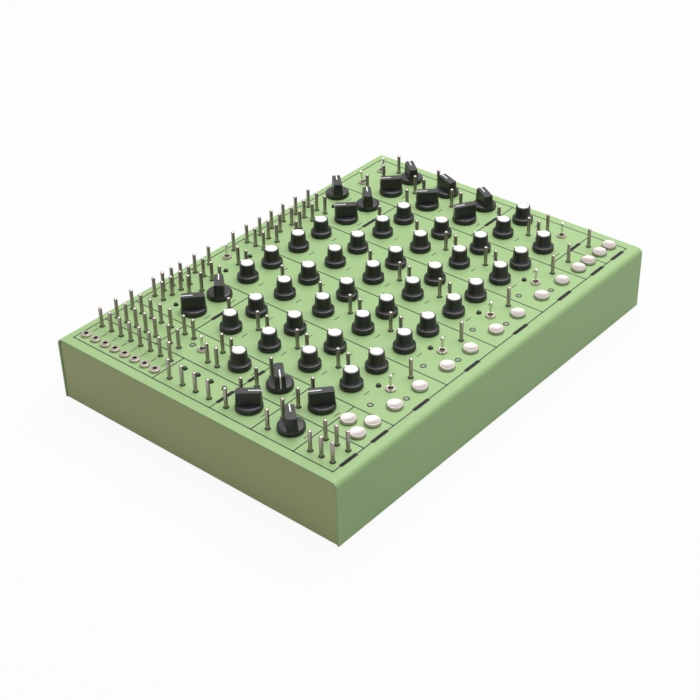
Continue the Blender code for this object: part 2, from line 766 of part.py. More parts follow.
def make_jack_board(parts, tools, material):
    outline = board_mesh(jack_outline(), BOARD_TOP, BOARD_THICK, "mini_jack_board")
    board = place(outline, "mini_jack_board", parts, material)
    half = MINI_JACK_PITCH / 2 - 0.6 * MM
    bm = bmesh.new()
    for x, y in MINI_JACKS:
        add_box(bm, (x - half, y - half, BOARD_TOP - SOLDER_DEPTH), (x + half, y + half, PANEL_UNDER - GAP))
    solder(board, mesh_from(bm, "jack_bodies"), tools)
    bush = bushed_socket(
        MINI_BORE_RADIUS + 0.1 * MM, MINI_BUSH_RADIUS, MINI_NUT_RADIUS, MINI_NUT_HEIGHT,
        MINI_NUT_HEIGHT + 2.4 * MM, -SHEET - GAP - 1 * MM, "jack_bush",
    )
    solder(board, stamped(bush, MINI_JACKS, PANEL_TOP, "jack_bushes"), tools)
    bm = bmesh.new()
    for spot in MINI_JACKS:
        add_prism(bm, spot, BOARD_TOP + 1 * MM, PANEL_TOP + 0.5 * MM, MINI_BORE_RADIUS, SOCKET_SIDES)
    boolean(board, mesh_from(bm, "jack_bores"), "DIFFERENCE", tools)


def rear_bodies():
    """Socket and switch bodies on the rear board, just inside the back flange."""
    inside = REAR_Y - SHEET - GAP
    root = REAR_BOARD_TOP - SOLDER_DEPTH
    bm = bmesh.new()
    for x in AUDIO_JACK_X:
        add_box(bm, (x - 8 * MM, REAR_BODY_FRONT, root), (x + 8 * MM, inside, REAR_AXIS_Z + 8 * MM))
    for x, half in ((DATA_SOCKET_X, 10 * MM), (POWER_INLET_X, 7 * MM)):
        add_box(bm, (x - half, inside - 14 * MM, root), (x + half, inside, REAR_AXIS_Z + half))
    x = POWER_SWITCH_X
    half = SWITCH_HALF_WIDTH
    add_box(bm, (x - half, inside - 9 * MM, root), (x + half, inside, REAR_AXIS_Z + SWITCH_HALF_HEIGHT))
    return mesh_from(bm, "rear_bodies")


def rear_bushes():
    """The threaded or plain collars and the switch's neck, which pass through the back flange."""
    bottom = -SHEET - GAP - 1 * MM
    kinds = (
        (AUDIO_JACK_X, AUDIO_BUSH, "audio_bush"),
        ([DATA_SOCKET_X], DATA_COLLAR, "data_collar"),
        ([POWER_INLET_X], INLET_COLLAR, "inlet_collar"),
    )
    bm = bmesh.new()
    for places, sizes, name in kinds:
        mesh = bushed_socket(*sizes, bottom, name, REAR_SIDES)
        for x in places:
            add_mesh(bm, mesh, Matrix.Translation((x, 0, 0)))
    add_switch_box(bm, 0, bottom, 1 * MM)
    bmesh.ops.transform(bm, matrix=rear_turned(0), verts=bm.verts)
    return mesh_from(bm, "rear_bushes")


def switch_rim():
    bm = bmesh.new()
    add_switch_box(bm, SWITCH_RIM, GAP, 1.8 * MM)
    bmesh.ops.transform(bm, matrix=rear_turned(0), verts=bm.verts)
    return mesh_from(bm, "switch_rim")


def rear_bores():
    """Deepens the blind bores into the socket bodies, and cuts the rocker's pocket."""
    depths = [(x, 3.2 * MM, 26 * MM) for x in AUDIO_JACK_X]
    depths += [(DATA_SOCKET_X, 6.2 * MM, 9 * MM), (POWER_INLET_X, 2.7 * MM, 10 * MM)]
    bm = bmesh.new()
    for x, radius, depth in depths:
        add_prism(bm, (x, 0), -depth, -0.5 * MM, radius, REAR_SIDES)
    add_switch_box(bm, -1.4 * MM, -4.8 * MM, 3 * MM)
    bmesh.ops.transform(bm, matrix=rear_turned(0), verts=bm.verts)
    return mesh_from(bm, "rear_bores")


def rocker_mesh():
    """The power switch's rocker about its pivot, its outer face a shallow V towards +Y."""
    outline = [
        (5.6 * MM, 3.4 * MM),
        (0, 2.4 * MM),
        (-5.6 * MM, 3.4 * MM),
        (-5.6 * MM, 0.8 * MM),
        (-3 * MM, -2.4 * MM),
        (3 * MM, -2.4 * MM),
        (5.6 * MM, 0.8 * MM),
    ]
    mesh = board_mesh(outline, ROCKER_WIDTH / 2, ROCKER_WIDTH, "power_rocker")
    mesh.transform(Matrix.Rotation(math.radians(-90), 4, "Y"))
    return mesh


def make_rear_board(parts, tools, material):
    half = 150 * MM
    front = 112 * MM
    back = REAR_Y - SHEET - GAP
    outline = [(-half, front), (half, front), (half, back), (-half, back)]
    mesh = board_mesh(outline, REAR_BOARD_TOP, BOARD_THICK, "rear_socket_board")
    board = place(mesh, "rear_socket_board", parts, material)
    solder(board, rear_bodies(), tools)
    solder(board, rear_bushes(), tools)
    solder(board, switch_rim(), tools)
    boolean(board, rear_bores(), "DIFFERENCE", tools)


def make_knobs(parts, material):
    """The round knobs that turn, each with its origin on its shaft at the panel."""
    mesh = small_knob_mesh(-SHEET - GAP / 2)
    for row, columns in TURNING_KNOBS.items():
        for column in columns:
            spot = (column_x(column), row_y(row), PANEL_TOP)
            place(mesh, f"knob_r{row + 1}_c{column}", parts, material, spot)


def make_pointer_knobs(parts, material):
    mesh = pointer_knob_mesh()
    for name, x, y, direction in pointer_spots():
        place(mesh, name, parts, material, (x, y, PANEL_TOP), (0, 0, math.radians(direction)))


def make_levers(parts, material):
    """Toggle levers, each with its origin on its pivot."""
    mesh = lever_mesh()
    pivot = PANEL_TOP + TOGGLE_NUT_HEIGHT - TOGGLE_PIVOT_DROP
    for number, (x, y, lean) in enumerate(TOGGLES, 1):
        place(mesh, f"toggle_lever_{number}", parts, material, (x, y, pivot), (0, lean * TOGGLE_LEAN, 0))


def make_rocker(parts, material):
    spot = (POWER_SWITCH_X, REAR_Y - ROCKER_PIVOT_DROP, REAR_AXIS_Z)
    place(rocker_mesh(), "power_rocker", parts, material, spot, (-ROCKER_TILT, 0, 0))


def main():
    clear_scene()
    parts = make_collection("drum_synthesizer")
    tools = make_collection("boolean_tools")
    root = bpy.data.objects.new("synthesizer", None)
    parts.objects.link(root)
    green = make_material("powder_coat_green", (0.36, 0.52, 0.26), 0.5)
    black = make_material("black_plastic", (0.012, 0.011, 0.012), 0.35)
    metal = make_material("brushed_metal", (0.52, 0.46, 0.44), 0.35, 1.0)
    board = make_material("circuit_board", (0.02, 0.09, 0.04), 0.6)
    make_cover(parts, tools, green)
    make_tray(parts, tools, green)
    make_main_board(parts, tools, board)
    make_pad_board(parts, tools, metal)
    make_jack_board(parts, tools, board)
    make_rear_board(parts, tools, board)
    make_knobs(parts, black)
    make_pointer_knobs(parts, black)
    make_levers(parts, metal)
    make_rocker(parts, black)


main()
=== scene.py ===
"""The looks of the desktop drum synthesizer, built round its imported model. Metres, +Z up."""

import json
import math

import bmesh
import bpy
from mathutils import Matrix, Vector


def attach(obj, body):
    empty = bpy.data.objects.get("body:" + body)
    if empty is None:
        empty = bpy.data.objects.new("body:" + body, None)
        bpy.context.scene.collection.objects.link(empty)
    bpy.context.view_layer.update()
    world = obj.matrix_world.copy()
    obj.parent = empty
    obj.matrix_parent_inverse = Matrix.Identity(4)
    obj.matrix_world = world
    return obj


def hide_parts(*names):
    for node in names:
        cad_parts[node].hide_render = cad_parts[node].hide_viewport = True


MM = 0.001
CAMERA_PLACE = (-0.7929, -0.6708, 0.7128)
CAMERA_TURN = (55.6, 1.157, -49.98)
CAMERA_LENS = 76.29

PANEL_TOP = 60 * MM
SHEET = 1.5 * MM
BOARD_TOP = 51.2 * MM
BOARD_THICK = 1.6 * MM
PRINT_THICK = 0.06 * MM
PRINT_SINK = 0.02 * MM
LINE_WIDTH = 1.1

# Finish: how far roughness strays from its value, and the height of the fine bump
ROUGHNESS_SPREAD = 0.06
BUMP_DEPTH = 0.1 * MM
SHARP_ANGLE = math.radians(35)

# Facets of the turned pieces
KNOB_SIDES = 48
POINTER_SIDES = 64
PAD_SIDES = 48
SOCKET_SIDES = 32
LIGHT_SIDES = 24
LEVER_SIDES = 20
PIN_SIDES = 14

# Knob grid: five rows from the back, and five modules of two columns beside two utility columns
KNOB_ROW_PITCH = 41.8 * MM
TOP_ROW_Y = 88 * MM
MODULE_PITCH = 64.05 * MM
KNOB_SPACING = 30 * MM
FIRST_MODULE_X = -107 * MM
UTILITY_X = -140.9 * MM
EDGE_X = -174.8 * MM
BACK_KNOB_Y = 124 * MM

# Patch pins
PIN_PITCH = 16.75 * MM
FIRST_PIN_X = -185.2 * MM
MODULE_PIN_X = -94.3 * MM
UPPER_PIN_RISE = 23.8 * MM
LOWER_PIN_RISE = 13.7 * MM
FRONT_PIN_X = -70.8 * MM
FRONT_PIN_Y = -107.4 * MM
BACK_PIN_ROWS = (130.3 * MM, 120.2 * MM, 110.3 * MM, 100.7 * MM)
BACK_PIN_PITCH = 10.2 * MM

# Mini jacks, toggles and pads
MINI_JACK_COUNT = 8
MINI_JACK_X = -185.3 * MM
MINI_JACK_TOP_Y = 130.5 * MM
MINI_JACK_PITCH = 11.2 * MM

TOGGLE_LEAN = math.radians(12)
TOGGLE_Y = -105.2 * MM
TOGGLE_X = -92.5 * MM
PAD_Y = -121 * MM


def module_x(module, side=0):
    """The x of a module's left (0) or right (1) knob column."""
    return FIRST_MODULE_X + module * MODULE_PITCH + side * KNOB_SPACING


def row_y(row):
    """The y of a knob row, counted from the back."""
    return TOP_ROW_Y - row * KNOB_ROW_PITCH


def column_x(column):
    """The x of a knob column: 0 and 1 are the utility columns, and the rest pair up in modules."""
    if column == 0:
        return EDGE_X
    if column == 1:
        return UTILITY_X
    return module_x((column - 2) // 2, (column - 2) % 2)


def grid(columns, rows):
    return [(x, y) for x in columns for y in rows]


def pin_x(column):
    return FIRST_PIN_X + column * PIN_PITCH


def mini_jack_y(index):
    return MINI_JACK_TOP_Y - index * MINI_JACK_PITCH


def module_pins(row, rise, modules):
    """Pins between the two knob columns of these modules, behind a knob row."""
    return [(MODULE_PIN_X + m * MODULE_PITCH, row_y(row) + rise) for m in modules]


def utility_pins():
    """Pins in the four columns left of the modules."""
    jack_rows = [mini_jack_y(i) for i in range(MINI_JACK_COUNT)]
    light_rows = [36 * MM - i * 14 * MM for i in range(4)]
    front_rows = [-106.6 * MM - i * 10.5 * MM for i in range(3)]
    inner = (pin_x(2), pin_x(3))
    every = [pin_x(i) for i in range(4)]
    pairs = [row_y(row) + rise for row in (1, 2) for rise in (UPPER_PIN_RISE, LOWER_PIN_RISE)]
    return (
        grid([pin_x(1)], jack_rows)
        + grid(inner, jack_rows[:5])
        + grid(inner, pairs)
        + grid([pin_x(0)], light_rows)
        + grid(every, [row_y(3) + LOWER_PIN_RISE, row_y(4) + LOWER_PIN_RISE])
        + grid((pin_x(0), pin_x(1)), front_rows)
    )


def back_pins():
    """Pins along the back edge, behind the first knob row."""
    back, second, third, fourth = BACK_PIN_ROWS
    first_block = [-110.2 * MM + i * BACK_PIN_PITCH for i in range(4)]
    wide_block = (1 * MM, 17.7 * MM, 48.2 * MM, 64.9 * MM, 82 * MM)
    right_block = (137 * MM, 161 * MM, 183.8 * MM)
    return (
        grid(first_block, (back, second))
        + [(-90 * MM, third), (-80.2 * MM, 105.5 * MM)]
        + grid([-63 * MM], BACK_PIN_ROWS)
        + [(-46 * MM, back), (-15.8 * MM, back), (-31 * MM, third), (-31 * MM, fourth)]
        + grid(wide_block, (back, second, third))
        + grid([32.8 * MM], (back, second, fourth))
        + grid(right_block, [106.3 * MM])
    )


def front_pins():
    """Pins beside the knob rows and in the front row."""
    front_row = [FRONT_PIN_X + m * MODULE_PITCH for m in range(4)] + [145.5 * MM, 177.3 * MM]
    return (
        module_pins(1, LOWER_PIN_RISE, (0, 1, 3, 4))
        + module_pins(1, UPPER_PIN_RISE, [4])
        + [(137 * MM, row_y(1) + LOWER_PIN_RISE), (184 * MM, row_y(1) + LOWER_PIN_RISE)]
        + module_pins(2, UPPER_PIN_RISE, (0, 4))
        + module_pins(2, LOWER_PIN_RISE, range(5))
        + module_pins(3, UPPER_PIN_RISE, range(4))
        + module_pins(3, LOWER_PIN_RISE, range(5))
        + module_pins(4, UPPER_PIN_RISE, range(5))
        + module_pins(4, LOWER_PIN_RISE, range(5))
        + [(176.5 * MM, row_y(4) + LOWER_PIN_RISE)]
        + grid(front_row, [FRONT_PIN_Y])
    )


PINS = utility_pins() + back_pins() + front_pins()
MINI_JACKS = [(MINI_JACK_X, mini_jack_y(i)) for i in range(MINI_JACK_COUNT)]

# Small knobs by row that stay with the main board
FIXED_KNOBS = {0: range(4, 8), 1: range(2, 9)}

# Pointer knobs as (column, row, direction of the pointer in degrees from +X)
POINTER_KNOBS = (
    (2, 0, 138), (3, 0, 44), (8, 0, 135), (9, 0, 44), (10, 0, 135), (11, 0, 51),
    (10, 1, 133), (11, 1, 70), (10, 2, 149), (11, 2, 60),
    (0, 3, -50), (1, 3, -133), (0, 4, 48), (1, 4, 139),
)
BACK_POINTER = (9, 46)

# Toggles as (x, y, lean to the right as -1, 0 or 1)
TOGGLES = [(TOGGLE_X + m * MODULE_PITCH, TOGGLE_Y, 0) for m in range(4)] + [
    (177.8 * MM, -79.5 * MM, 0),
    (-143 * MM, 42.8 * MM, 0),
    (-29 * MM, 126 * MM, 0),
    (147.8 * MM, 120.3 * MM, -1),
    (176.3 * MM, 121 * MM, 1),
]

PADS = [(module_x(m, side), PAD_Y) for m in range(4) for side in (0, 1)] + [
    (140.4 * MM, PAD_Y),
    (155.4 * MM, PAD_Y),
    (173 * MM, PAD_Y),
    (188 * MM, PAD_Y),
    (-150.4 * MM, PAD_Y),
    (-133 * MM, PAD_Y),
    (-141.6 * MM, TOGGLE_Y),
]

LIGHTS = (
    [(-169.3 * MM, 35.5 * MM - i * 14 * MM) for i in range(4)]
    + [(-94.5 * MM + m * MODULE_PITCH, -95.2 * MM) for m in range(4)]
    + [(-109.5 * MM, 106.3 * MM), (-45.7 * MM, 111.3 * MM), (-15.7 * MM, 111.3 * MM), (95.8 * MM, 112 * MM)]
)

BOARD_TRIMMERS = [(-116.8 * MM + m * 63.9 * MM, -105.5 * MM) for m in range(4)] + [(-142.5 * MM, 54 * MM)]
PAD_TRIMMERS = [(-94 * MM + m * 64.1 * MM, -121.5 * MM) for m in range(4)]


def knob_spots(rows):
    return [(column_x(c), row_y(r)) for r, columns in rows.items() for c in columns]


def pointer_spots():
    """Pointer knobs as (name, x, y, direction)."""
    spots = [(f"pointer_knob_r{r + 1}_c{c}", column_x(c), row_y(r), turn) for c, r, turn in POINTER_KNOBS]
    column, turn = BACK_POINTER
    return spots + [("pointer_knob_back", column_x(column), BACK_KNOB_Y, turn)]


def material(name, colour, roughness, metallic=0.0, bump=0.1, scale=900, mottle=0.04):
    """A Principled material with fine mottling in its colour and roughness, and a fine bump."""
    made = bpy.data.materials.new(name)
    made.use_nodes = True
    nodes, links = made.node_tree.nodes, made.node_tree.links
    shader = nodes["Principled BSDF"]
    shader.inputs["Metallic"].default_value = metallic
    place = nodes.new("ShaderNodeTexCoord")
    noise = nodes.new("ShaderNodeTexNoise")
    noise.inputs["Scale"].default_value = scale
    tint = nodes.new("ShaderNodeMix")
    tint.data_type = "RGBA"
    tint.inputs["A"].default_value = (*[c * (1 - mottle) for c in colour], 1)
    tint.inputs["B"].default_value = (*[min(1, c * (1 + mottle)) for c in colour], 1)
    spread = nodes.new("ShaderNodeMapRange")
    spread.inputs["To Min"].default_value = roughness - ROUGHNESS_SPREAD
    spread.inputs["To Max"].default_value = roughness + ROUGHNESS_SPREAD
    relief = nodes.new("ShaderNodeBump")
    relief.inputs["Strength"].default_value = bump
    relief.inputs["Distance"].default_value = BUMP_DEPTH
    links.new(place.outputs["Object"], noise.inputs["Vector"])
    links.new(noise.outputs["Fac"], tint.inputs["Factor"])
    links.new(tint.outputs["Result"], shader.inputs["Base Color"])
    links.new(noise.outputs["Fac"], spread.inputs["Value"])
    links.new(spread.outputs["Result"], shader.inputs["Roughness"])
    links.new(noise.outputs["Fac"], relief.inputs["Height"])
    links.new(relief.outputs["Normal"], shader.inputs["Normal"])
    return made


def make_finishes():
    """Every material by name."""
    return {
        "green": material("powder_coat", (0.3, 0.46, 0.195), 0.55, bump=0.35, scale=1400),
        # The tray's olive, warmer and yellower than the cover's green, is painted warm light on the shaded
        # side panel.
        "tray": material("tray_coat", (0.39, 0.44, 0.185), 0.55, bump=0.35, scale=1400),
        "ink": material("panel_print", (0.012, 0.013, 0.011), 0.5),
        "black": material("black_plastic", (0.011, 0.01, 0.012), 0.38, bump=0.2),
        "cap": material("cap_plastic", (0.87, 0.86, 0.83), 0.42, bump=0.1),
        "pin": material("pin_metal", (0.36, 0.31, 0.29), 0.3, 1.0, scale=2500),
        "chrome": material("lever_chrome", (0.72, 0.7, 0.68), 0.12, 1.0),
        "nut": material("nut_metal", (0.46, 0.4, 0.36), 0.34, 1.0),
        "pad": material("pad_metal", (0.47, 0.42, 0.4), 0.36, 1.0, scale=2200),
        # Near black that stands in for the shade deep in the jack and toggle bores and in the clearance holes
        # round the pins: painted shade.
        "hole": material("dark_bore", (0.006, 0.006, 0.006), 0.7),
        "board": material("solder_mask", (0.02, 0.07, 0.035), 0.5, scale=400),
        "trimmer": material("trimmer_dial", (0.3, 0.34, 0.26), 0.45),
    }


def add_turned(bm, profile, sides, spot=(0, 0, 0), finish=0, bore=None, bore_steps=0):
    """A turned solid: (radius, z) points in mm from its middle at the top, down its outer side.

    Its first bore_steps bands take the bore's finish.
    """
    rings = []
    for radius, z in profile:
        count = sides if radius else 1
        turns = [2 * math.pi * i / count for i in range(count)]
        rings.append([
            bm.verts.new(Vector(spot) + Vector((math.cos(a) * radius, math.sin(a) * radius, z)) * MM)
            for a in turns
        ])
    for step, (upper, lower) in enumerate(zip(rings, rings[1:])):
        for i in range(sides):
            j = (i + 1) % sides
            if len(upper) == 1:
                corners = (upper[0], lower[i], lower[j])
            elif len(lower) == 1:
                corners = (upper[i], lower[0], upper[j])
            else:
                corners = (upper[i], lower[i], lower[j], upper[j])
            face = bm.faces.new(corners)
            face.material_index = bore if step < bore_steps else finish


def add_box(bm, low, high, finish=0):
    """An upright box between two corners, in metres."""
    middle = [(a + b) / 2 for a, b in zip(low, high)]
    size = [b - a for a, b in zip(low, high)]
    shape = Matrix.Translation(middle) @ Matrix.Diagonal((*size, 1))
    made = bmesh.ops.create_cube(bm, size=1, matrix=shape)
    for face in {f for v in made["verts"] for f in v.link_faces}:
        face.material_index = finish


def finished_mesh(bm, name, finishes):
    """The mesh with its finishes, smooth but for its sharp edges."""
    mesh = bpy.data.meshes.new(name)
    bm.to_mesh(mesh)
    bm.free()
    for finish in finishes:
        mesh.materials.append(finish)
    mesh.shade_smooth()
    mesh.set_sharp_from_angle(angle=SHARP_ANGLE)
    return mesh


def add_piece(name, mesh, body, replaced=(), spot=(0, 0, 0), turn=(0, 0, 0)):
    """An object that rides on a body, takes a slot's finish and may stand for CAD nodes."""
    piece = bpy.data.objects.new(name, mesh)
    piece.location = spot
    piece.rotation_euler = turn
    bpy.context.scene.collection.objects.link(piece)
    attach(piece, body)
    if replaced:
        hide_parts(*replaced)


def on_panel(spot):
    return (spot[0], spot[1], PANEL_TOP)


KNOB_BODY = (
    (0, 15.5), (5.9, 15.5), (6.25, 15.2), (6.45, 12), (6.8, 7), (7.2, 5.8), (7.9, 5), (8.9, 4.6),
    (9.15, 4.2), (9.2, 0.5), (3, 0.5), (3, -1.6), (0, -1.6),
)
KNOB_CAP = ((0, 16.9), (2.6, 16.75), (4.3, 16.3), (5.1, 15.8), (5.3, 15.3), (5.3, 15), (0, 15))
NUB_HALF = 0.8 * MM
NUB_BACK, NUB_FRONT = 4.6 * MM, 6.6 * MM
NUB_LOW, NUB_HIGH = 15.1 * MM, 15.9 * MM


def knob_mesh(kit):
    """A small knob: a black body with a flared skirt, a light domed cap and its nub towards +Y."""
    bm = bmesh.new()
    add_turned(bm, KNOB_BODY, KNOB_SIDES)
    add_turned(bm, KNOB_CAP, KNOB_SIDES, finish=1)
    add_box(bm, (-NUB_HALF, NUB_BACK, NUB_LOW), (NUB_HALF, NUB_FRONT, NUB_HIGH), finish=1)
    return finished_mesh(bm, "small_knob", (kit["black"], kit["cap"]))


POINTER_TOP = 15.5 * MM
POINTER_SKIRT = (
    (0, 4.8), (8.4, 4.8), (9.8, 4.5), (10.5, 3.8), (10.7, 3), (10.7, 0.5), (3, 0.5), (3, -1.6), (0, -1.6),
)
POINTER_BAR = ((0, 15.5), (9.2, 15.5), (9.6, 15.1), (10.1, 8), (10.3, 3), (0, 3))
BAR_HALF = 3.9 * MM
BAR_HALF_AT = 12 * MM
BAR_LEAN = math.radians(4)
MARK_HALF = 0.5 * MM
MARK_LOW = 5 * MM
MARK_DROP = 0.5 * MM
MARK_SINK = 0.1 * MM
MARK_END = 9.3 * MM
MARK_INNER, MARK_OUTER = 9.2 * MM, 10.3 * MM


def pointer_mesh(kit):
    """A pointer knob: a round skirt, a grip bar with flat sides and a white line towards +X."""
    bar = bmesh.new()
    add_turned(bar, POINTER_BAR, POINTER_SIDES)
    for side in (-1, 1):
        cut = bmesh.ops.bisect_plane(
            bar,
            geom=bar.verts[:] + bar.edges[:] + bar.faces[:],
            plane_co=(0, side * BAR_HALF, BAR_HALF_AT),
            plane_no=(0, side * math.cos(BAR_LEAN), math.sin(BAR_LEAN)),
            clear_outer=True,
        )
        rim = [e for e in cut["geom_cut"] if isinstance(e, bmesh.types.BMEdge)]
        bmesh.ops.edgenet_fill(bar, edges=rim)
    shape = bpy.data.meshes.new("bar")
    bar.to_mesh(shape)
    bar.free()
    bm = bmesh.new()
    bm.from_mesh(shape)
    bpy.data.meshes.remove(shape)
    add_turned(bm, POINTER_SKIRT, POINTER_SIDES)
    top = POINTER_TOP
    add_box(bm, (0, -MARK_HALF, top - MARK_SINK), (MARK_END, MARK_HALF, top + PRINT_THICK), finish=1)
    add_box(bm, (MARK_INNER, -MARK_HALF, MARK_LOW), (MARK_OUTER, MARK_HALF, top - MARK_DROP), finish=1)
    return finished_mesh(bm, "pointer_knob", (kit["black"], kit["cap"]))


LEVER = ((0, 14.2), (0.7, 14.05), (1.2, 13.6), (1.4, 12.8), (1.35, 11), (1, 2.5), (1, -1.4), (0, -1.5))


def dress_controls(kit):
    """The pieces that move: knobs, pointer knobs and levers, each on its own joint's body."""
    joints = {joint["child"]: joint for joint in frame["joints"]}
    knob = knob_mesh(kit)
    pointer = pointer_mesh(kit)
    bm = bmesh.new()
    add_turned(bm, LEVER, LEVER_SIDES)
    lever = finished_mesh(bm, "toggle_lever", (kit["chrome"],))
    leans = [lean for _, _, lean in TOGGLES]
    turns = {name: math.radians(turn) for name, _, _, turn in pointer_spots()}
    for body, joint in joints.items():
        spot = joint["pos_m"]
        if body.startswith("knob_"):
            add_piece(f"{body}_cap", knob, body, [body], spot)
        elif body in turns:
            add_piece(f"{body}_grip", pointer, body, [body], spot, (0, 0, turns[body]))
        elif body.startswith("toggle"):
            lean = leans[int(body.split("_")[-1]) - 1] * TOGGLE_LEAN
            add_piece(f"{body}_stem", lever, body, [body], spot, (0, lean, 0))
    for number, spot in enumerate(knob_spots(FIXED_KNOBS), 1):
        add_piece(f"upper_knob_{number}", knob, "case", (), on_panel(spot))


def repeated(name, profile, sides, spots, finishes, bore_steps=0):
    """Copies of one turned shape in one mesh, with the second finish in its bore."""
    bm = bmesh.new()
    for spot in spots:
        add_turned(bm, profile, sides, on_panel(spot), bore=1, bore_steps=bore_steps)
    return finished_mesh(bm, name, finishes)


PIN = ((0, 18), (0.8, 17.9), (1.35, 17.5), (1.55, 16.8), (1.55, -9), (0, -9))
PAD = (
    (0, 2.9), (4.9, 2.9), (5.3, 3.05), (5.9, 3), (6.3, 2.6), (6.4, 2.1), (6.4, 0.7), (6.1, 0.4),
    (2, 0.4), (2, -9), (0, -9),
)
MINI_JACK = (
    (0, -1), (1.8, -1), (1.8, 2.4), (2, 2.6), (2.8, 2.6), (2.9, 2.1), (3.8, 2), (4.1, 1.7),
    (4.1, 0.1), (0, 0.1),
)
TOGGLE_BUSH = (
    (0, 0.6), (2.1, 0.6), (2.1, 2.4), (2.9, 2.5), (3, 1.7), (3.9, 1.6), (4.1, 1.3),
    (4.1, 0.1), (0, 0.1),
)
LIGHT = ((0, 2.3), (0.9, 2.15), (1.6, 1.7), (1.95, 0.9), (2, 0.2), (2, -1.5), (0, -1.5))
TRIMMER = ((0, 0.1), (1.7, 0.1), (1.7, 0.35), (2.5, 0.3), (2.6, 0), (0, 0))
# A flat near-black disc round each pin: painted shade of the clearance hole the pin stands in.
PIN_HOLE_SHADE = ((0, 0.05), (2.45, 0.05), (2.45, -0.02), (0, -0.02))

# The main board as two rectangles, each (left, front, right, back), and the pots on it
BOARD_AREAS = (
    (-176 * MM, -112 * MM, 196 * MM, 138 * MM),
    (-197 * MM, -138 * MM, -159.2 * MM, 46.3 * MM),
)
POT_HALF = 5.5 * MM
POT_TOP = PANEL_TOP - SHEET - 0.3 * MM


def dress_boards(kit):
    """Everything soldered to the boards, with the boards themselves under the panel."""
    bm = bmesh.new()
    low = BOARD_TOP - BOARD_THICK
    for left, front, right, back in BOARD_AREAS:
        add_box(bm, (left, front, low), (right, back, BOARD_TOP))
    pots = [(x, y) for _, x, y, _ in pointer_spots()] + knob_spots(FIXED_KNOBS)
    pots += [joint["pos_m"][:2] for joint in frame["joints"] if joint["child"].startswith("knob_")]
    for x, y in pots:
        add_box(bm, (x - POT_HALF, y - POT_HALF, low), (x + POT_HALF, y + POT_HALF, POT_TOP), finish=1)
    board = finished_mesh(bm, "circuit_board", (kit["board"], kit["black"]))
    add_piece("circuit_board", board, "case", ["main_board"])
    pins = repeated("patch_pins", PIN, PIN_SIDES, PINS, (kit["pin"],))
    add_piece("patch_pins", pins, "case")
    pads = repeated("touch_pads", PAD, PAD_SIDES, PADS, (kit["pad"],))
    add_piece("touch_pads", pads, "case", ["touch_pad_board"])
    jacks = repeated("mini_jacks", MINI_JACK, SOCKET_SIDES, MINI_JACKS, (kit["nut"], kit["hole"]), 2)
    add_piece("mini_jacks", jacks, "case", ["mini_jack_board"])
    toggle_spots = [(x, y) for x, y, _ in TOGGLES]
    bushes = repeated(
        "toggle_bushes", TOGGLE_BUSH, SOCKET_SIDES, toggle_spots, (kit["nut"], kit["hole"]), 2
    )
    add_piece("toggle_bushes", bushes, "case")
    lights = repeated("status_lights", LIGHT, LIGHT_SIDES, LIGHTS, (kit["black"],))
    add_piece("status_lights", lights, "case")
    # The raised ring round each dial takes the print's black: painted shade of the panel hole round the dial.
    dial_spots = BOARD_TRIMMERS + PAD_TRIMMERS
    dials = repeated("trimmers", TRIMMER, LIGHT_SIDES, dial_spots, (kit["ink"], kit["trimmer"]), 1)
    add_piece("trimmers", dials, "case")


# The print, in mm: the frame's sides, the lines down it as (x, low y, high y), and across it as
# (y, left, right)
FRAME_LEFT, FRAME_RIGHT = -193.5, 194
FRAME_FRONT, FRAME_BACK = -134.7, 136.4
LINES_DOWN = (
    [(x, FRAME_FRONT, FRAME_BACK) for x in (FRAME_LEFT, -159.6, -125.8, -61.6, 2.5, 66.5, 130.5, FRAME_RIGHT)]
    + [(162.5, FRAME_FRONT, -98.6)]
)
LINES_ACROSS = (
    [(y, FRAME_LEFT, FRAME_RIGHT) for y in (FRAME_FRONT, FRAME_BACK)]
    + [(y, FRAME_LEFT, -125.8) for y in (-14.4, -56.2, -97.5)]
    + [(46.5, FRAME_LEFT, -159.6), (78.5, -159.6, -125.8), (67.7, -125.8, -61.6), (67.6, 66.5, 130.5)]
    + [(-16.5, 130.5, FRAME_RIGHT), (-98.6, 130.5, FRAME_RIGHT)]
)
TABS = (
    [(x, FRAME_FRONT) for x in (-176.5, -142, -93.3, -29.6, 35, 98, 147.6, 179.3)]
    + [(-176.5, -14.4), (-142.5, -14.4), (-98, 67.7), (93, 67.6), (161, -16.5), (168, -98.6)]
)
TAB_HALF = (9, 1.75)
DASH_HALF = (3.2, 0.4)
DASH_DROP = 14.8
JACK_DASH = (-179, -173)


def add_mark(bm, low, high):
    """A flat printed rectangle on the panel, between two corners in mm."""
    base = PANEL_TOP - PRINT_SINK
    add_box(bm, (low[0] * MM, low[1] * MM, base), (high[0] * MM, high[1] * MM, PANEL_TOP + PRINT_THICK))


def add_centred_mark(bm, spot, half):
    add_mark(bm, (spot[0] - half[0], spot[1] - half[1]), (spot[0] + half[0], spot[1] + half[1]))


def print_panel(kit):
    """Black lines, tabs, plain dashes under the knobs, and flat dark discs round the pins that are painted
    shade of their clearance holes.
    """
    bm = bmesh.new()
    half = LINE_WIDTH / 2
    for x, low, high in LINES_DOWN:
        add_mark(bm, (x - half, low - half), (x + half, high + half))
    for y, left, right in LINES_ACROSS:
        add_mark(bm, (left - half, y - half), (right + half, y + half))
    for spot in TABS:
        add_centred_mark(bm, spot, TAB_HALF)
    kinds = ("knob_", "pointer")
    turning = [tuple(j["pos_m"][:2]) for j in frame["joints"] if j["child"].startswith(kinds)]
    for x, y in turning + knob_spots(FIXED_KNOBS):
        add_centred_mark(bm, (x / MM, y / MM - DASH_DROP), DASH_HALF)
    for _, y in MINI_JACKS:
        add_mark(bm, (JACK_DASH[0], y / MM - DASH_HALF[1]), (JACK_DASH[1], y / MM + DASH_HALF[1]))
    add_piece("panel_print", finished_mesh(bm, "panel_print", (kit["ink"],)), "case")
    hole_shade_discs = repeated("pin_rims", PIN_HOLE_SHADE, LIGHT_SIDES, PINS, (kit["hole"],))
    add_piece("pin_rims", hole_shade_discs, "case")


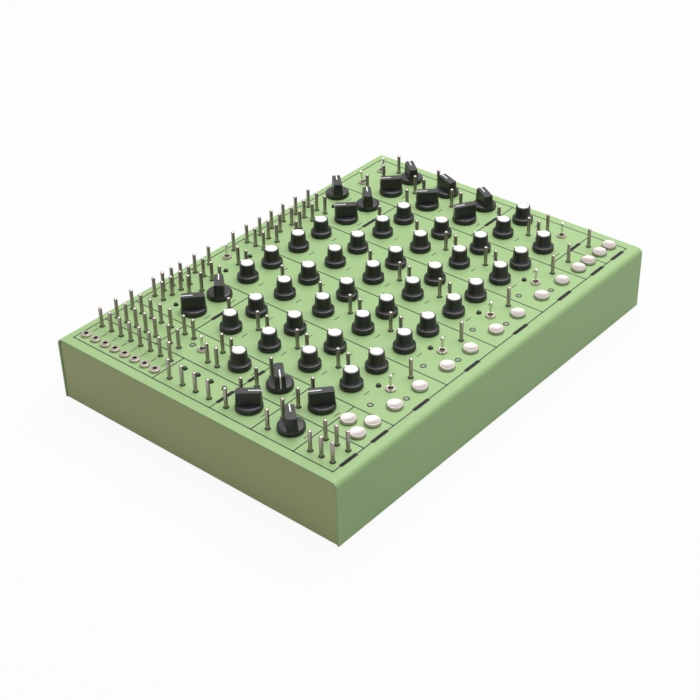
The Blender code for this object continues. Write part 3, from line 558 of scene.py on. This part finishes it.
def dress_nodes(kit):
    """The CAD nodes that stay in view get their finishes."""
    for name, node in frame["nodes"].items():
        finish = kit["black"]
        if name == "top_cover":
            finish = kit["green"]
        elif name == "base_tray":
            finish = kit["tray"]
        node.data.materials.clear()
        node.data.materials.append(finish)


def light_path_factor(nodes, links):
    """1 for rays that the camera, a mirror or glass sends, and 0 for the rest."""
    path = nodes.new("ShaderNodeLightPath")
    first = nodes.new("ShaderNodeMath")
    first.operation = "MAXIMUM"
    second = nodes.new("ShaderNodeMath")
    second.operation = "MAXIMUM"
    links.new(path.outputs["Is Camera Ray"], first.inputs[0])
    links.new(path.outputs["Is Glossy Ray"], first.inputs[1])
    links.new(first.outputs["Value"], second.inputs[0])
    links.new(path.outputs["Is Transmission Ray"], second.inputs[1])
    return second.outputs["Value"]


FLOOR_GLOW = 0.93
FLOOR_SIZE = 12


def make_stage():
    """A white floor that keeps a faint shadow."""
    bpy.ops.mesh.primitive_plane_add(size=FLOOR_SIZE, location=(0, 0, 0))
    floor = bpy.context.object
    floor.name = "floor"
    finish = material("floor_white", (0.62, 0.62, 0.62), 0.9, bump=0, mottle=0)
    nodes, links = finish.node_tree.nodes, finish.node_tree.links
    glow = nodes.new("ShaderNodeEmission")
    share = nodes.new("ShaderNodeMath")
    share.operation = "MULTIPLY"
    share.inputs[1].default_value = FLOOR_GLOW
    mix = nodes.new("ShaderNodeMixShader")
    links.new(light_path_factor(nodes, links), share.inputs[0])
    links.new(share.outputs["Value"], mix.inputs["Fac"])
    links.new(nodes["Principled BSDF"].outputs["BSDF"], mix.inputs[1])
    links.new(glow.outputs["Emission"], mix.inputs[2])
    links.new(mix.outputs["Shader"], nodes["Material Output"].inputs["Surface"])
    floor.data.materials.append(finish)


WORLD_FILL = 0.22
BOX_POWER = 50
BOX_SIZE = 2
BOX_PLACE = (0.5, 0, 1.8)


def make_lights():
    """A white world that fills softly, and one large softbox overhead."""
    world = bpy.data.worlds.new("studio")
    bpy.context.scene.world = world
    world.use_nodes = True
    nodes, links = world.node_tree.nodes, world.node_tree.links
    reach = nodes.new("ShaderNodeMapRange")
    reach.inputs["To Min"].default_value = WORLD_FILL
    links.new(light_path_factor(nodes, links), reach.inputs["Value"])
    links.new(reach.outputs["Result"], nodes["Background"].inputs["Strength"])
    nodes["Background"].inputs["Color"].default_value = (1, 1, 1, 1)
    lamp = bpy.data.lights.new("softbox", "AREA")
    lamp.energy = BOX_POWER
    lamp.size = BOX_SIZE
    box = bpy.data.objects.new("softbox", lamp)
    box.location = BOX_PLACE
    box.rotation_euler = Vector(BOX_PLACE).to_track_quat("Z", "Y").to_euler()
    bpy.context.scene.collection.objects.link(box)


def make_camera():
    data = bpy.data.cameras.new("camera")
    data.lens = CAMERA_LENS
    camera = bpy.data.objects.new("camera", data)
    camera.location = CAMERA_PLACE
    camera.rotation_euler = [math.radians(a) for a in CAMERA_TURN]
    bpy.context.scene.collection.objects.link(camera)
    bpy.context.scene.camera = camera


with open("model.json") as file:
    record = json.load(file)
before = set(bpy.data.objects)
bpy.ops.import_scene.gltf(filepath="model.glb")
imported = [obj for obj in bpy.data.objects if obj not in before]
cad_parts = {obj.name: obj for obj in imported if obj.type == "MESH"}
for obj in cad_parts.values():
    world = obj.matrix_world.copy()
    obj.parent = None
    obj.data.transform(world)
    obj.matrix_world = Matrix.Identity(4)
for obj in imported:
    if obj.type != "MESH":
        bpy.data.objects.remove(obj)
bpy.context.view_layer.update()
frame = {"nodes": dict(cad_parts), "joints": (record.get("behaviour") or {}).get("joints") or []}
bpy.context.scene.view_settings.view_transform = "Standard"
finishes = make_finishes()
dress_nodes(finishes)
dress_controls(finishes)
dress_boards(finishes)
print_panel(finishes)
make_stage()
make_lights()
make_camera()
